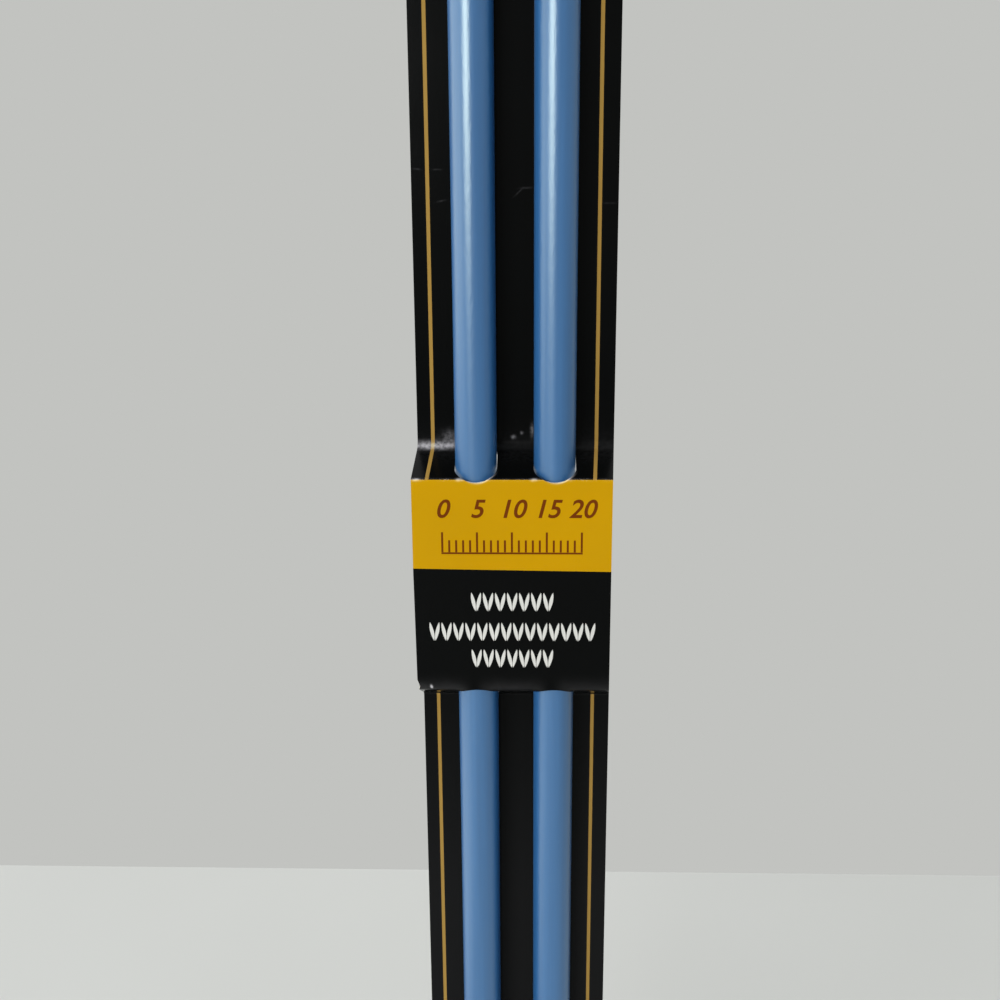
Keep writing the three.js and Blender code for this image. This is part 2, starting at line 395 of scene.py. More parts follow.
# %% [markdown]
# ## Turned forms
# A needle and its cap are both round, so each is a profile spun about its axis. Blender's Screw
# modifier could spin it, but writing the rings one by one lets the spacing change around the turn: a
# mould closes along two lines, and it leaves a hair-fine ridge there, one on each side.

# %% Space the angles around a turn
turn_steps = 96
ridge_reach = 2


def turn_angles():
    """Angles around the turn, in degrees, with extra ones across both mould lines."""
    even = {round(360 * k / turn_steps, 3) for k in range(turn_steps)}
    steps = range(-ridge_reach, ridge_reach + 1)
    return sorted(even | {(line + step) % 360 for line in (0, 180) for step in steps})


print(len(turn_angles()), "angles around a turned form")

# %% Spin a profile
ridge_height = 0.02
sharp_edge = math.radians(35)


def spun_faces(rings, count):
    """The faces of a spun form: a fan at each end, and four-sided ones from ring to ring."""
    first_rings = range(1, 1 + (rings - 1) * count, count)
    last_ring, last_point = 1 + (rings - 1) * count, 1 + rings * count
    faces = []
    for k in range(count):
        after = (k + 1) % count
        faces.append((0, 1 + k, 1 + after))
        faces += [(r + k, r + count + k, r + count + after, r + after) for r in first_rings]
        faces.append((last_ring + k, last_point, last_ring + after))
    return faces


def spin(name, profile, x, ridge=ridge_height):
    """A closed solid from (radius, z) points, from the axis at one end to the other."""
    angles = turn_angles()
    points = [(x, needle_y, profile[0][1])]
    for radius, z in profile[1:-1]:
        for angle in angles:
            off = min(angle % 180, -angle % 180)
            grown = radius + ridge * max(0.0, 1 - off / ridge_reach)
            around = math.radians(angle)
            points.append((x + grown * math.cos(around), needle_y + grown * math.sin(around), z))
    points.append((x, needle_y, profile[-1][1]))
    faces = spun_faces(len(profile) - 2, len(angles))
    # The faces look outwards when the profile ends below its start, and are turned over if not.
    if profile[-1][1] > profile[0][1]:
        faces = [face[::-1] for face in faces]
    mesh = bpy.data.meshes.new(name)
    mesh.from_pydata([Vector(point) * MM for point in points], [], faces)
    mesh.shade_smooth()
    mesh.set_sharp_from_angle(angle=sharp_edge)
    made = bpy.data.objects.new(name, mesh)
    bpy.context.scene.collection.objects.link(made)
    return made


def arc(centre_radius, centre_z, radius, start, end, steps=8):
    """Points of a round in a profile, with angles in degrees from straight out, upwards."""
    angles = [math.radians(start + (end - start) * k / steps) for k in range(steps + 1)]
    return [(centre_radius + radius * math.cos(angle), centre_z + radius * math.sin(angle))
            for angle in angles]


print("a quarter round:", [(round(r, 2), round(z, 2)) for r, z in arc(0, 0, 1, 0, 90, 2)])

# %% [markdown]
# ## Needle shafts
# The point of a plastic needle isn't a cone but a slim ogive: it leaves the shaft smoothly and ends
# in a small ball, which is what keeps it from splitting the yarn. The other end is cut square
# with a small chamfer, and it sits inside the cap's socket.

# %% Turn the two shafts
point_length = 16
tip_radius = 0.9
tail_chamfer = 0.4
# Where the round of the ball starts and ends, in degrees from straight out, upwards.
ball_start, ball_end = -84, -20
ogive_power = 0.9
ball_steps, taper_steps, length_steps = 10, 30, 60


def shaft_profile():
    """A shaft as (radius, z) points, from the tip of its point to its tail."""
    tip, tail = shaft_low.z, shaft_high.z
    ball = arc(0, tip + tip_radius, tip_radius, ball_start, ball_end, ball_steps)
    join_radius, join_z = ball[-1]
    shoulder = tip + point_length
    taper = []
    for share in np.linspace(0, 1, taper_steps)[1:]:
        swell = math.sin(share * math.pi / 2) ** ogive_power
        radius = join_radius + (needle_radius - join_radius) * swell
        taper.append((radius, join_z + (shoulder - join_z) * share))
    heights = np.linspace(shoulder, tail - tail_chamfer, length_steps)[1:]
    length = [(needle_radius, z) for z in heights]
    return [(0, tip), *ball, *taper, *length, (needle_radius - tail_chamfer, tail), (0, tail)]


for side in SIDES:
    shaft = spin(f"{side}_needle", shaft_profile(), needle_x[side], ridge=0.0)
    shaft.data.materials.append(shaft_plastic)
    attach(shaft, f"{side}_needle")
    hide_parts(f"{side}_needle_shaft")
    print(shaft.name, "has", len(shaft.data.polygons), "faces")

# %% [markdown]
# ## Caps
# The cap keeps the stitches from sliding off. It is a collar that grips the shaft and a wider disc
# with soft edges, moulded in one. A plain low dome would look unfinished, so the top has the small
# sunken spot that the moulding gate leaves.

# %% Draw the cap's profile
collar_height = 3.2
cap_flange = 0.75
cap_fillet = 0.6
neck_fillet = 0.35
edge_round = 0.25
dome_height = 1.4
dome_fullness = 0.97
gate_radius, gate_depth, gate_edge = 1.1, 0.15, 0.1
socket_gap = 0.02
# Where the round under the disc starts and the round over it ends, in the same degrees.
disc_start, rim_end = -80, 72
edge_steps, dome_steps = 5, 14


def cap_profile():
    """A cap as (radius, z) points, from the floor of its socket, around its rim, to its top."""
    low, high = cap_low.z, cap_high.z
    inside, collar = needle_radius + socket_gap, cap_radius - cap_flange
    socket_floor = shaft_high.z + socket_gap
    neck_z = low + collar_height - neck_fillet
    disc_z = low + collar_height + cap_fillet
    rim_z = high - dome_height - cap_fillet
    rim = cap_radius - cap_fillet
    dome = []
    for share in np.linspace(0, 1, dome_steps)[1:]:
        radius = rim * (1 - share) + gate_radius * share
        rise = dome_height * (1 - ((radius - gate_radius) / (cap_radius - gate_radius)) ** 2)
        dome.append((radius, high - dome_height + rise * dome_fullness))
    return [
        (0, socket_floor),
        (inside, socket_floor),
        *arc(inside + edge_round, low + edge_round, edge_round, 180, 270, edge_steps),
        *arc(collar - edge_round, low + edge_round, edge_round, -90, 0, edge_steps),
        *arc(collar + neck_fillet, neck_z, neck_fillet, 180, 90, edge_steps),
        *arc(rim, disc_z, cap_fillet, disc_start, 0),
        *arc(rim, rim_z, cap_fillet, 0, rim_end),
        *dome,
        (gate_radius - gate_edge, high - gate_depth / 2),
        (gate_radius - 2 * gate_edge, high - gate_depth),
        (0, high - gate_depth),
    ]


print(len(cap_profile()), "points in the cap's profile")

# %% Turn the two caps
for side in SIDES:
    cap = spin(f"{side}_cap", cap_profile(), needle_x[side])
    cap.data.materials.append(cap_plastic)
    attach(cap, f"{side}_needle")
    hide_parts(f"{side}_needle_cap")
print(f"caps {2 * cap_radius:.1f} mm across and {cap_high.z - cap_low.z:.1f} mm high")

# %% [markdown]
# ## The folded strip, seen from the side
# A folded card is a flat sheet plus a rule that says where each point of the sheet ends up. The
# rule only needs the strip's side view, because every fold runs straight across. The side view is
# a list of corners. Each corner becomes an arc with its own radius, tight on the sharp fold above
# a band's face and wide on the soft lip below it.

# %% Set out the corners
board = 0.45
needle_to_card = 0.15
cap_seat = 0.3
window_headroom = 5.2
ledge_land = 0.8
slot_heel = 1.2
slope_drop = 3.2
under_drop = 3.5
faces = {"upper": 25, "middle": 32.4, "lower": 19}
upper_open_length = 110
point_exposure = 27
rail_radius, crease_radius, fold_radius, lip_radius, heel_radius = 2.0, 1.5, 0.6, 2.5, 1.0

header_y = card_high.y - board
card_y = needle_y + needle_radius + needle_to_card
band_y = card_low.y
ledge_top = cap_low.z - cap_seat
window_top = cap_high.z + window_headroom
fold_z = {"upper": ledge_top - ledge_land - slot_heel - slope_drop}
fold_z["middle"] = fold_z["upper"] - faces["upper"] - under_drop - upper_open_length - slope_drop
fold_z["lower"] = shaft_low.z + point_exposure + under_drop + faces["lower"]

# Each corner has its y and z, the radius of its bend, and a name.
side_corners = [(header_y, card_high.z, 0, "top"), (header_y, window_top, rail_radius, "rail")]
side_corners += [(card_y, ledge_top, rail_radius, "ledge")]
for name, face in faces.items():
    side_corners += [
        (card_y, fold_z[name] + slope_drop, crease_radius, f"{name}_crease"),
        (band_y, fold_z[name], fold_radius, f"{name}_fold"),
        (band_y, fold_z[name] - face, lip_radius, f"{name}_lip"),
        (card_y, fold_z[name] - face - under_drop, heel_radius, f"{name}_heel"),
    ]
side_corners += [(card_y, card_low.z, 0, "foot")]
print("folds above the bands' faces, z in mm:", {name: round(z, 1) for name, z in fold_z.items()})

# %% Round the corners
bend_step = math.radians(6)
# A point this far before and after each bend keeps the flat stretches flat.
hold = 0.12


def round_corner(before, here, after, radius):
    """The arc that rounds a corner, with a point before and after it, and its middle's place."""
    arriving, leaving = (here - before).normalized(), (after - here).normalized()
    turned = math.atan2(arriving.x * leaving.y - arriving.y * leaving.x, arriving.dot(leaving))
    reach = radius * math.tan(abs(turned) / 2)
    start = here - arriving * reach
    centre = start + Vector((-arriving.y, arriving.x)) * math.copysign(radius, turned)
    # An even number of steps gives the arc a point at its very middle.
    steps = 2 * math.ceil(abs(turned) / (2 * bend_step))
    points = [start - arriving * hold]
    for k in range(steps + 1):
        points.append(centre + Matrix.Rotation(turned * k / steps, 2) @ (start - centre))
    points.append(here + leaving * (reach + hold))
    return points, 1 + steps // 2


def rounded_path():
    """The strip's side view as points, and the place in it of each named corner's middle."""
    points, places = [], {}
    corners = [Vector((y, z)) for y, z, _, _ in side_corners]
    for i, (_, _, radius, name) in enumerate(side_corners):
        if radius == 0:
            bend, bend_middle = [corners[i]], 0
        else:
            bend, bend_middle = round_corner(*corners[i - 1:i + 2], radius)
        places[name] = len(points) + bend_middle
        points += bend
    return np.array([tuple(point) for point in points]), places


path, corner_places = rounded_path()
print(len(path), "points along the side view")

# %% Measure along the strip
strides = np.diff(path, axis=0)
lengths = np.hypot(*strides.T)
along = np.concatenate([[0], np.cumsum(lengths)])
ways = strides / lengths[:, None]
way_in, way_out = np.vstack([ways[:1], ways]), np.vstack([ways, ways[-1:]])
# `outward` points straight out of the printed side, halfway between the two stretches that meet at
# a point. It is a little longer than 1 in a bend, so that the board keeps its thickness there.
heading = (way_in + way_out) / np.linalg.norm(way_in + way_out, axis=1, keepdims=True)
outward = np.stack([heading[:, 1], -heading[:, 0]], axis=1)
outward /= (heading * way_out).sum(axis=1, keepdims=True)
mark = {name: along[place] for name, place in corner_places.items()}
strip_length = along[-1]
folded_length = card_high.z - card_low.z
print(f"the strip is {strip_length:.1f} mm long when flat, and {folded_length:.1f} mm when folded")

# %% [markdown]
# ## Folding
# `fold` carries places on the flat sheet to the folded shape. A place is a pair: x, and the
# distance down the strip along its printed side. Real board doesn't bend like a formula, so the
# places are nudged first: the middle band has slipped a little to the left, the tongue of board
# above each lower slot stays flat where the lip curves away, and one corner of the lip has been
# knocked in.

# %% Find places on the strip
band_lean = 0.45
bend_reach = 2


def distance_at(z):
    """The distance down the strip of a height on the folded card."""
    return float(np.interp(-z, -path[:, 1], along))


def height_at(s):
    """The height on the folded card of a distance down the strip."""
    return float(np.interp(s, along, path[:, 1]))


def lean_at(s):
    """How far the board has slipped left: most on the middle band's face, less on its slopes."""
    in_band = (s > mark["middle_crease"] - bend_reach) & (s < mark["middle_heel"] + bend_reach)
    return band_lean * in_band * (card_y - np.interp(s, along, path[:, 0])) / (card_y - band_y)


print(f"the middle fold is {distance_at(fold_z['middle']):.1f} mm down the flat strip")

# %% Fold a flat sheet
tongue_half_width = 1.6
tongue_rise = 1.4
tongue_end = 1.6
knock_width, knock_height = 1.8, 1.6
knock_in, knock_back = 0.42, 0.35


def bell(offsets):
    """A soft bump that is 1 at no offset and fades away on both sides."""
    return np.exp(-(offsets ** 2))


def fold(x, s, depth):
    """Points of the folded sheet, in millimetres, for arrays of places and one depth."""
    y = np.interp(s, along, path[:, 0])
    z = np.interp(s, along, path[:, 1])
    out_y = np.interp(s, along, outward[:, 0])
    out_z = np.interp(s, along, outward[:, 1])
    straight_x = x - lean_at(s)
    for name in faces:
        start, end = mark[f"{name}_lip"] - tongue_rise, mark[f"{name}_lip"] + tongue_end
        for centre in needle_x.values():
            # Where the board is stiff, it goes straight on down from the band's face.
            stiff = bell((straight_x - centre) / tongue_half_width) * (s > start) * (s < end)
            y = y + stiff * (band_y - y)
            z = z + stiff * (height_at(start) - (s - start) - z)
            out_y = out_y + stiff * (-1 - out_y)
            out_z = out_z - stiff * out_z
    knock = bell((x + half_card) / knock_width) * bell((s - mark["middle_lip"]) / knock_height)
    back = knock * knock_back + depth
    return np.stack([straight_x + knock * knock_in, y - out_y * back, z - out_z * back], axis=1)


lip_corner = fold(np.array([-half_card]), np.array([mark["middle_lip"]]), 0.0)[0]
print("the knocked corner of the middle lip is at", lip_corner.round(2), "mm")

# %% [markdown]
# ## The blank
# Before it is folded, the card is one die-cut blank: a long rounded rectangle with a hang hole, a
# window that the caps sit in, and twelve round-ended slots. The loops below are the cutting lines,
# drawn on the flat sheet, so that a slot which crosses a fold comes out right by itself.

# %% Draw the cutting lines
corner_radius = 2.5
hang_hole_radius = 4.0
window_round = 1.5
window_side_clearance = 0.75
needle_to_slot = 0.03
slot_shift = 0.03
slot_dip = 0.5
slot_tuck = 0.08
round_steps = 14
slot_radius = needle_radius + needle_to_slot


def rounded_loop(left, top, right, bottom, radius):
    """A rounded rectangle on the flat sheet."""
    loop = []
    quarters = [(right - radius, bottom - radius, 0), (left + radius, bottom - radius, 90)]
    quarters += [(left + radius, top + radius, 180), (right - radius, top + radius, 270)]
    for x, s, start in quarters:
        for k in range(round_steps + 1):
            angle = math.radians(start + 90 * k / round_steps)
            loop.append((x + radius * math.cos(angle), s + radius * math.sin(angle)))
    return loop


def slot_loop(x, start, end):
    """A round-ended slot for a needle at x, cut further right where the board slips left."""
    loop = rounded_loop(x - slot_radius, start, x + slot_radius, end, slot_radius)
    return [(at_x + slot_shift + lean_at(at_s), at_s) for at_x, at_s in loop]


window_half = needle_x["right"] + cap_radius + window_side_clearance
hole = rounded_loop(-hang_hole_radius, distance_at(hang_hole_radius), hang_hole_radius,
                    distance_at(-hang_hole_radius), hang_hole_radius)
window = rounded_loop(-window_half, distance_at(window_top), window_half, mark["ledge"],
                      window_round)
cutting_lines = [rounded_loop(-half_card, 0, half_card, strip_length, corner_radius), hole, window]
for name in faces:
    upper_cut = mark[f"{name}_crease"] - slot_heel, mark[f"{name}_fold"] + slot_dip
    lower_cut = mark[f"{name}_lip"] + slot_tuck, mark[f"{name}_heel"] + slot_heel
    for x in needle_x.values():
        cutting_lines += [slot_loop(x, *upper_cut), slot_loop(x, *lower_cut)]
print(len(cutting_lines), "cutting lines")

# %% [markdown]
# ## The print
# Printed areas are drawn as closed loops on the same flat sheet, one list for each ink. Where loops
# of one ink overlap, the ink fills the odd ones only, which is how the hole in a 0 stays open.
# A pair of thin gold lines runs down the card between the bands, printed a touch left of centre.
# Each band has a yellow panel over a black one. The middle band's yellow panel carries a plain
# millimetre scale, and rows of knit stitches fill the rest.

# %% Draw gold lines and panels
gold_left, gold_right, gold_width = -12.05, 11.75, 0.52
gold_end = 2.4
beyond = half_card + 1
# Where each yellow panel ends, below its fold: at the card's left edge and at its right edge.
yellow_ends = {"upper": (9.2, 9.2), "middle": (13.3, 13.75), "lower": (5.6, 5.6)}


def bar(left, right, top, bottom):
    """A plain rectangle on the flat sheet."""
    return [(left, top), (right, top), (right, bottom), (left, bottom)]


gold_stretches = [
    (gold_end, mark["upper_fold"]),
    (mark["upper_heel"], mark["middle_fold"]),
    (mark["middle_heel"], mark["lower_fold"]),
    (mark["lower_heel"], strip_length - gold_end),
]
prints = {"yellow": [], "gold": [], "brown": [], "white": []}
for top, bottom in gold_stretches:
    for x in (gold_left, gold_right):
        prints["gold"].append(bar(x - gold_width / 2, x + gold_width / 2, top, bottom))
for name, drops in yellow_ends.items():
    left_end, right_end = (distance_at(fold_z[name] - drop) for drop in drops)
    panel_top = [(-beyond, mark[f"{name}_fold"]), (beyond, mark[f"{name}_fold"])]
    prints["yellow"].append(panel_top + [(beyond, right_end), (-beyond, left_end)])
print({ink: len(loops) for ink, loops in prints.items()}, "loops so far")

# %% Outline the numerals
number_size = 3.8
number_slant, number_weight = 0.25, 0.06
number_smoothness = 6


def number_loops(number, x, foot):
    """The outlines of a number in Blender's own font, centred on x."""
    words = bpy.data.curves.new("numerals", "FONT")
    words.body = str(number)
    words.size = number_size
    words.align_x = "CENTER"
    words.shear = number_slant
    words.offset = number_weight
    words.resolution_u = number_smoothness
    flat = bpy.data.objects.new("numerals", words)
    outline = flat.to_mesh()
    sides = set()
    for polygon in outline.polygons:
        ring = list(polygon.vertices)
        sides.update(zip(ring, ring[1:] + ring[:1]))
    # A side that no other face shares is on the outline. Each leads from one corner to the next.
    after = {start: end for start, end in sides if (end, start) not in sides}
    points = [(x + v.co.x, foot - v.co.y) for v in outline.vertices]
    loops = []
    while after:
        loop = [min(after)]
        while after[loop[-1]] != loop[0]:
            loop.append(after[loop[-1]])
        for corner in loop:
            del after[corner]
        loops.append([points[corner] for corner in loop])
    bpy.data.objects.remove(flat)
    bpy.data.curves.remove(words)
    return loops


print("a 0 has", len(number_loops(0, 0, 0)), "loops")

# %% Draw the millimetre scale
scale_length = 20
tick_width = 0.3
tick_foot = 10.8
long_tick, short_tick = 3.0, 1.8
number_every, number_foot = 5, 5.6
line_gap = 0.02

scale_foot = distance_at(fold_z["middle"] - tick_foot)
numeral_foot = distance_at(fold_z["middle"] - number_foot)
for number in range(scale_length + 1):
    x = number - scale_length / 2
    left, right = x - tick_width / 2, x + tick_width / 2
    tick = short_tick if number % number_every else long_tick
    prints["brown"].append(bar(left, right, scale_foot - tick, scale_foot))
    if number % number_every == 0:
        prints["brown"] += number_loops(number, x, numeral_foot)
# The line under the ticks starts a hair below them, because loops of one ink that overlap cut
# each other out.
scale_end = (scale_length + tick_width) / 2
prints["brown"].append(bar(-scale_end, scale_end, scale_foot + line_gap, scale_foot + tick_width))
print(len(prints["brown"]), "brown loops")

# %% Draw the knit stitches
stitch_pitch = 1.75
stitch_height = 2.9
leaf_width, leaf_fullness = 0.54, 0.7
leaf_foot, leaf_spread = 0.05, 0.34
leaf_steps = 8
header_rows = [("white", 7, 9.6), ("white", 11, 14.2)]
# Each row of a band: its ink, its number of stitches, and how far its middle is below the fold.
band_rows = {
    "upper": [("brown", 11, 4.9), ("white", 7, 13.6), ("white", 14, 18.2)],
    "middle": [("white", 7, 18.4), ("white", 14, 23.05), ("white", 7, 27.25)],
    "lower": [("brown", 11, 2.9), ("white", 7, 10.8)],
}


def leaf(x, foot, lean):
    """One arm of a stitch: an almond that rises from the stitch's foot and leans outwards."""
    left, right = [], []
    for share in np.linspace(0, 1, leaf_steps + 1):
        middle_x = x + lean * stitch_pitch * (leaf_foot + leaf_spread * share)
        half = leaf_width / 2 * math.sin(math.pi * share) ** leaf_fullness
        left.append((middle_x - half, foot - stitch_height * share))
        right.append((middle_x + half, foot - stitch_height * share))
    # Both sides start and end in the same two points, so the right one leaves them out.
    return left + right[-2:0:-1]


def stitch_row(count, z):
    """The loops of a row of knit stitches, centred at a height on the folded card."""
    foot = distance_at(z) + stitch_height / 2
    places = [(k - (count - 1) / 2) * stitch_pitch for k in range(count)]
    return [leaf(x, foot, lean) for x in places for lean in (-1, 1)]


for ink, count, drop in header_rows:
    prints[ink] += stitch_row(count, -drop)
for name, rows in band_rows.items():
    for ink, count, drop in rows:
        prints[ink] += stitch_row(count, fold_z[name] - drop)
print({ink: len(loops) for ink, loops in prints.items()}, "loops in all")

# %% [markdown]
# ## From loops to a sheet
# A constrained Delaunay triangulation takes points, lines and loops, and returns triangles that
# respect them all. The fold lines go in as lines, so that each bend has its own narrow rows, and
# a loose grid keeps the triangles of the flat stretches small. Each triangle comes back with the
# loops that hold it, which tells board from hole and one ink from another.

# %% Lay a loose grid
grid_x, grid_s, grid_margin = 1.3, 2.6, 0.5


def loose_grid():
    """Rows of points across the strip, and a line along each row that lies in a bend."""
    edge = half_card + grid_margin
    columns = np.linspace(-edge, edge, int(2 * half_card / grid_x))
    points, lines = [], []
    for s in along[1:-1]:
        first = len(points)
        points.extend((x, s) for x in columns)
        lines.extend((k, k + 1) for k in range(first, len(points) - 1))
    for low, high in zip(along[:-1], along[1:]):
        for s in np.linspace(low, high, max(1, int((high - low) / grid_s)) + 1)[1:-1]:
            points.extend((x, s) for x in columns)
    return points, lines


print(len(loose_grid()[0]), "points in the loose grid")

# %% Triangulate the flat sheet
merge_distance = 0.001


def flat_sheet():
    """The blank's points, its triangles, and the ink on each, as a list of one or none."""
    points, loops, owners = [], [], []
    for owner, drawn in {"board": cutting_lines, **prints}.items():
        for loop in drawn:
            loops.append(list(range(len(points), len(points) + len(loop))))
            points += loop
            owners.append(owner)
    grid_points, grid_lines = loose_grid()
    lines = [(len(points) + start, len(points) + end) for start, end in grid_lines]
    points = [Vector(point) for point in points + grid_points]
    result = delaunay_2d_cdt(points, lines, loops, 0, merge_distance, True)
    found, _, triangles, _, _, holders = result
    kept, inks = [], []
    for triangle, held in zip(triangles, holders):
        around = [owners[loop] for loop in held]
        if around.count("board") % 2 == 1:
            kept.append(triangle)
            inks.append([ink for ink in prints if around.count(ink) % 2 == 1][-1:])
    return np.array([tuple(point) for point in found]), np.array(kept), inks


flat_points, triangles, inks = flat_sheet()
# Points that lie in a hole or off the card belong to no triangle, and are dropped here.
used, triangles = np.unique(triangles, return_inverse=True)
triangles = triangles.reshape(-1, 3)
flat_points = flat_points[used]
print(f"{len(flat_points)} points and {len(triangles)} triangles on each side of the board")

# %% [markdown]
# ## Giving it thickness
# The board is 0.45 mm thick. The triangles are used twice, once on the printed side and once,
# turned over, on the back, and a band of small faces closes every cut edge. That is the same as a
# Solidify modifier, but it keeps the three skins of the board apart: ink, bare core and uncoated
# back.

# %% Build the card
finishes = ["black", *prints, "core", "back"]
card_sharp_edge = math.radians(40)


def facing_out():
    """The sheet's triangles, each with its corners in the order that faces it forwards."""
    a, b, c = (flat_points[triangles[:, k]] for k in range(3))
    area = (b[:, 0] - a[:, 0]) * (c[:, 1] - a[:, 1]) - (b[:, 1] - a[:, 1]) * (c[:, 0] - a[:, 0])
    return np.where((area > 0)[:, None], triangles[:, ::-1], triangles)


def card_mesh():
    """The folded card: its printed side, its bare back, and the cut edges between them."""
    x, s = flat_points.T
    count = len(x)
    front, back = fold(x, s, 0.0), fold(x, s, board)
    facing = facing_out()
    edges = {(t[k], t[(k + 1) % 3]) for t in facing.tolist() for k in range(3)}
    cut = [(start, end) for start, end in sorted(edges) if (end, start) not in edges]
    rim = [(end, start, start + count, end + count) for start, end in cut]
    skins = facing.tolist() + (facing[:, ::-1] + count).tolist() + rim
    mesh = bpy.data.meshes.new("card_strip")
    mesh.from_pydata(np.vstack([front, back]) * MM, [], skins)
    wearing = [finishes.index(ink[0]) if ink else 0 for ink in inks]
    wearing += [finishes.index("back")] * len(facing) + [finishes.index("core")] * len(rim)
    mesh.polygons.foreach_set("material_index", wearing)
    blank = mesh.attributes.new("blank_place", "FLOAT_VECTOR", "POINT")
    depth = np.repeat([0.0, board], count)
    flat = np.column_stack([np.tile(x, 2), np.tile(s, 2), depth]).astype(np.float32)
    blank.data.foreach_set("vector", flat.ravel())
    mesh.shade_smooth()
    mesh.set_sharp_from_angle(angle=card_sharp_edge)
    return mesh


card = bpy.data.objects.new("card_strip", card_mesh())
bpy.context.scene.collection.objects.link(card)
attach(card, "card_strip")
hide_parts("card")
print("card size, mm:", [round(v / MM, 2) for v in card.dimensions])

# %% [markdown]
# ## Printed and varnished board
# All the inks lie under one clear varnish, so they share their gloss, a faint orange peel, and the
# wear. A fold stretches the printed skin until it cracks, and pale specks of core show along it,
# while the varnish in a crease is crushed and turns matt. The same pale colour also paints light
# on: a painted highlight at the left of the middle crease, a painted sheen on the slope below it
# and along each lip, and a painted reflection of the floor that lightens the lower card. An image
# could hold all this, but soft shapes that the shader works out stay sharp from close by. They are
# placed in the flat sheet's coordinates, which the mesh carries as `blank_place`, so wear follows
# the folds on every band.

# %% Draw soft shapes on the sheet
# A half size that reaches right across the card.
far = 1000
# How much is left of a spot at its half sizes.
fade = math.exp(-1)


class SheetFinish(Finish):
    """A finish that can draw soft shapes on the flat sheet."""

    def __init__(self, name, **constants):
        super().__init__(name, **constants)
        self.place = self.node("ShaderNodeAttribute", {"attribute_name": "blank_place"}, output=1)

    def spot(self, x, s, half_width, half_height, turn=0, strength=1):
        """A soft oval that fades out around its half sizes."""
        inputs = {"Vector": self.place, "Location": (x, s, 0)}
        inputs["Rotation"] = (0, 0, math.radians(turn))
        inputs["Scale"] = (half_width, half_height, 1)
        place = self.node("ShaderNodeMapping", {"vector_type": "TEXTURE"}, inputs)
        settings = {"operation": "DOT_PRODUCT"}
        square = self.node("ShaderNodeVectorMath", settings, {0: place, 1: place}, output=1)
        return fade ** square * strength

    def along_folds(self, kind, half_width):
        """A soft line along that fold of every band."""
        lines = [self.spot(0, mark[f"{name}_{kind}"], far, half_width) for name in faces]
        return sum(lines[1:], lines[0])


print(f"a spot is down to {fade:.0%} of its strength at its half sizes")

# %% Place the wear
crease, lip, fold_line = (mark[f"middle_{kind}"] for kind in ("crease", "lip", "fold"))
# The faint scuffs lie this far above the middle band's fold.
scuff_height = 40
scuffed = distance_at(fold_z["middle"] + scuff_height)

# Each spot has its x, its distance down the strip, half its width and height, how many degrees it
# is turned, and its strength. The first two whiten the left end of the crease: a painted highlight
# over varnish that is crazed there. The third is a faint painted sheen on the slope below it. Then
# come specks of crazed varnish that are partly painted glints, chips at the lip and the fold, and
# scuffs.
wear_and_painted_light_spots = [
    (-11.8, crease, 3.6, 0.56, 0, 0.92),
    (-9.3, crease - 1.2, 1.2, 0.9, 0, 0.25),
    (0, crease + 0.8, far, 2.6, 0, 0.010),
    (-0.3, crease - 1.3, 0.30, 0.25, 0, 0.5),
    (0.9, crease - 1.9, 0.20, 0.20, 0, 0.35),
    (2.4, crease - 2.3, 0.22, 0.75, 0, 0.40),
    (-12.2, lip - 0.1, 0.20, 0.34, 0, 1.8),
    (-13.7, fold_line, 0.6, 0.2, 0, 1.2),
    (-7.4, fold_line, 0.45, 0.2, 0, 1.5),
    (3.1, fold_line, 0.40, 0.2, 0, 1.2),
    (8.2, fold_line, 0.40, 0.2, 0, 0.5),
    (-13.5, scuffed - 2.3, 0.45, 0.10, 4, 0.06),
    (-10.7, scuffed - 2.2, 0.55, 0.10, 0, 0.05),
    (-10.2, scuffed + 2.0, 0.60, 0.10, -11, 0.05),
    (0.5, scuffed + 0.9, 0.67, 0.09, -42, 0.06),
    (1.7, scuffed + 0.3, 0.80, 0.12, -3, 0.05),
    (12.9, scuffed + 2.4, 0.80, 0.10, 0, 0.04),
]
spot_base, spot_blotches = 0.35, 0.8

# A fold's fine cracks, a painted sheen along each lip, and a painted reflection of the floor on the lower
# card.
crack_half_width, crack_wear = 0.2, 0.5
lip_sheen_half_width, lip_sheen_strength, lip_sheen_patches = 1.3, 0.022, 0.01
floor_reflection_start, floor_reflection_end, floor_reflection_strength = 0.56, 0.66, 0.013

# The middle band's slots have lost a thin arc of ink at the lower right of their round ends.
chip_places = [(x + slot_shift + band_lean, fold_line + slot_dip - slot_radius)
               for x in needle_x.values()]
chip_half_width = 0.16
chip_right, chip_below, chip_half_size, chip_wear = 1.5, 2.8, (1.7, 1.1), 1.1
print(len(wear_and_painted_light_spots), "spots of wear and", len(chip_places), "chipped slot ends")

# %% Describe a printed finish
# The varnish is thin and partly soaked up, so it mirrors only a little.
varnish = {"Specular_IOR_Level": 0.06}
grain_scale, blotch_scale, patch_scale, tone_scale, peel_scale = 6.0, 1.6, 0.35, 0.09, 2.0
grain_range, blotch_range, patch_range = (0.50, 0.62), (0.36, 0.64), (0.45, 0.65)
tone_change = 0.07
gloss, worn_change, gloss_change = 0.14, 0.3, 0.05
crushed_half_width, crushed_change = 0.9, 0.3
peel_relief, fleck_relief = 0.004, 1.5


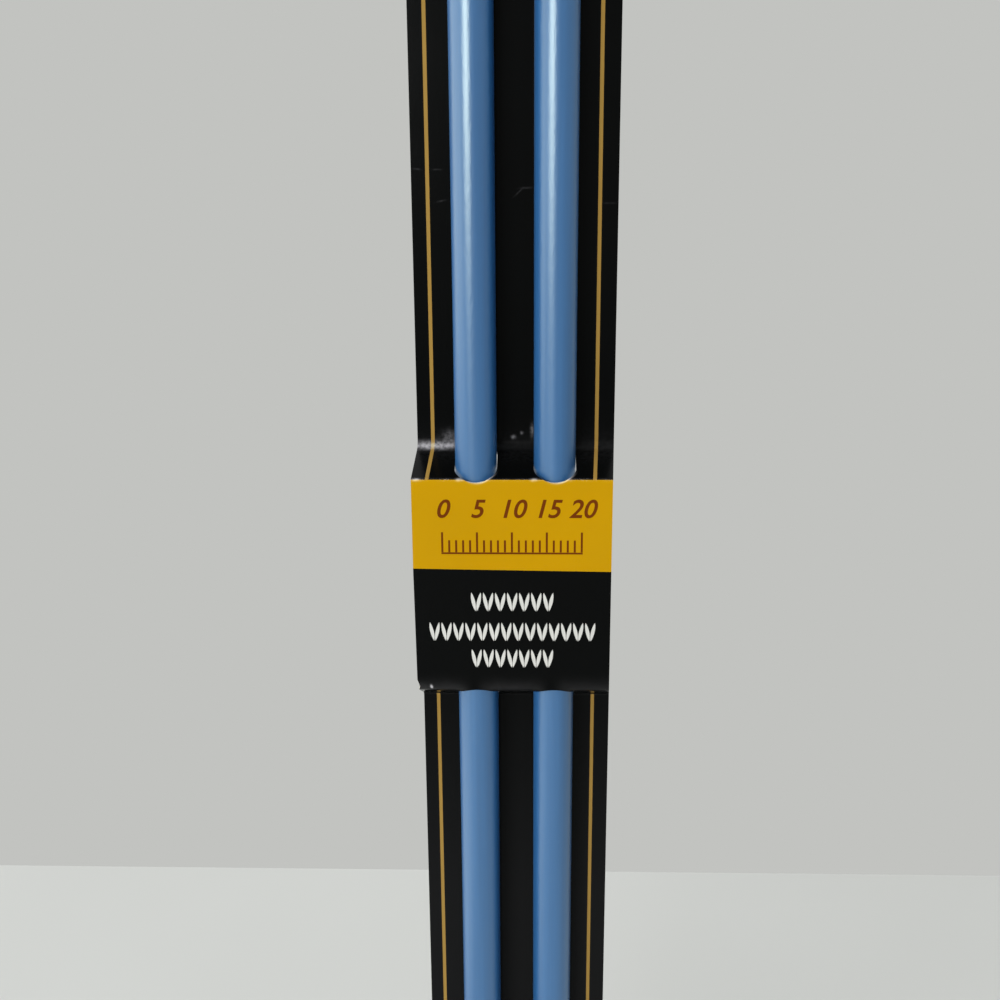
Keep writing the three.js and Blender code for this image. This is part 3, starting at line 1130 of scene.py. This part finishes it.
class Ink(SheetFinish):
    """A printed finish, worn along the folds, with painted highlights, sheen and reflections in places."""

    def __init__(self, name, colour, worn_and_lit_colour):
        super().__init__(name, **varnish)
        self.flecks = self.ramp(self.noise(self.place, grain_scale, detail=3.0), *grain_range)
        self.patches = self.ramp(self.noise(self.place, patch_scale), *patch_range)
        wear_and_light = self.ink_gone()
        tone = self.noise(self.place, tone_scale, detail=3.0)
        levels = (1 - tone_change, 1 + tone_change)
        dark, light = ([c * level for c in colour[:3]] + [1] for level in levels)
        # Where ink is worn away, and where highlights, sheen and reflections are painted on, it turns to its
        # pale colour.
        self.set(Base_Color=self.blend(wear_and_light, self.blend(tone, dark, light), worn_and_lit_colour))
        crushed = self.along_folds("crease", crushed_half_width) * crushed_change
        self.set(Roughness=gloss + wear_and_light * worn_change + tone * gloss_change + crushed)
        peel = self.noise(self.place, peel_scale)
        self.bump(peel + self.flecks * wear_and_light * fleck_relief, peel_relief * MM)

    def ink_gone(self):
        """How far the ink turns pale, where it is worn away and where light is painted on: 0 is not at all,
        and 1 is fully.
        """
        blotches = self.ramp(self.noise(self.place, blotch_scale, detail=3.0), *blotch_range)
        tongues = [self.spot(x, lip, tongue_half_width, far) for x in needle_x.values()]
        bowed = 1 - sum(tongues[1:], tongues[0])
        down = self.node("ShaderNodeSeparateXYZ", None, {0: self.place}, output=1)
        gone_and_lit = self.along_folds("fold", crack_half_width) * self.flecks * self.patches * crack_wear
        # A painted sheen along each lip stands for its reflection of the floor, and is left off the flat
        # tongues above the slots.
        painted_lip_sheen = self.along_folds("lip", lip_sheen_half_width) * bowed
        gone_and_lit += painted_lip_sheen * (lip_sheen_strength + self.patches * lip_sheen_patches)
        # A painted reflection of the floor makes the lower card lighter towards its foot.
        gone_and_lit += self.ramp(down / strip_length, floor_reflection_start, floor_reflection_end) * floor_reflection_strength
        for placed in wear_and_painted_light_spots:
            gone_and_lit += self.spot(*placed) * (spot_base + blotches * spot_blotches)
        for x, s in chip_places:
            gone_and_lit += self.rim_chip(x, s)
        return gone_and_lit

    def rim_chip(self, x, s):
        """A thin pale arc at the lower right of a slot's round end, centred at x and s."""
        inputs = {0: self.place, 1: (x, s, 0)}
        away = self.node("ShaderNodeVectorMath", {"operation": "DISTANCE"}, inputs, output=1)
        off = (away - slot_radius) / chip_half_width
        part = self.spot(x + chip_right, s + chip_below, *chip_half_size, strength=chip_wear)
        return fade ** (off * off) * part


# Each ink's second colour is the pale one that shows where it is worn, and where light is painted on.
black_ink = Ink("black_ink", shown(6, 7, 7), shown(190, 188, 192))
print(black_ink.material.name, "is made of", len(black_ink.tree.nodes), "nodes")

# %% Mix the other inks
inks_by_name = {
    "black": black_ink,
    "yellow": Ink("yellow_ink", shown(200, 151, 4), shown(250, 226, 160)),
    "gold": Ink("gold_ink", shown(168, 133, 66), shown(218, 205, 170)),
    "brown": Ink("brown_ink", shown(112, 52, 8), shown(190, 150, 90)),
    "white": Ink("white_ink", shown(216, 216, 211), shown(216, 211, 200)),
}
print("inks:", list(inks_by_name))

# %% [markdown]
# ## Bare board
# A cut edge shows the core of the board, off-white and fibrous, and the back has no ink or varnish
# at all. Both are matt. Short fibres are noise that is stretched along the strip.

# %% Make the core and the back
fibre_stretch, fibre_scale, mottle_scale = 0.35, 3.0, 0.25
fibre_share = 0.6
fibre_relief = 0.02
matt_board = {"Roughness": 0.85, "Specular_IOR_Level": 0.25}


def bare_board(name, light, dark):
    """Board without ink or varnish, mottled between a light and a dark colour."""
    finish = Finish(name, **matt_board)
    fibres = finish.noise(finish.object_place(1, 1, fibre_stretch), fibre_scale, detail=4.0)
    mottle = finish.noise(finish.object_place(1, 1, 1), mottle_scale, detail=3.0)
    paler = fibres * fibre_share + mottle * (1 - fibre_share)
    finish.set(Base_Color=finish.blend(paler, dark, light))
    finish.bump(fibres, fibre_relief * MM)
    return finish.material


for ink in inks_by_name.values():
    card.data.materials.append(ink.material)
card.data.materials.append(bare_board("board_core", shown(228, 224, 214), shown(206, 200, 188)))
card.data.materials.append(bare_board("board_back", shown(205, 202, 193), shown(190, 186, 176)))
print("card finishes:", [material.name for material in card.data.materials])

# %% [markdown]
# ## The two boxes
# The boxes of the CAD model and of the finished model are both measured and printed. The finished
# model has to fill the CAD model's box, and may pass it by a hair at most.

# %% Measure both boxes
boxes = {"cad": [list(corner) for corner in cad_box], "visual": [list(corner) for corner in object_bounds()]}
for name, corners in boxes.items():
    print(name, [[round(v / MM, 2) for v in corner] for corner in corners])
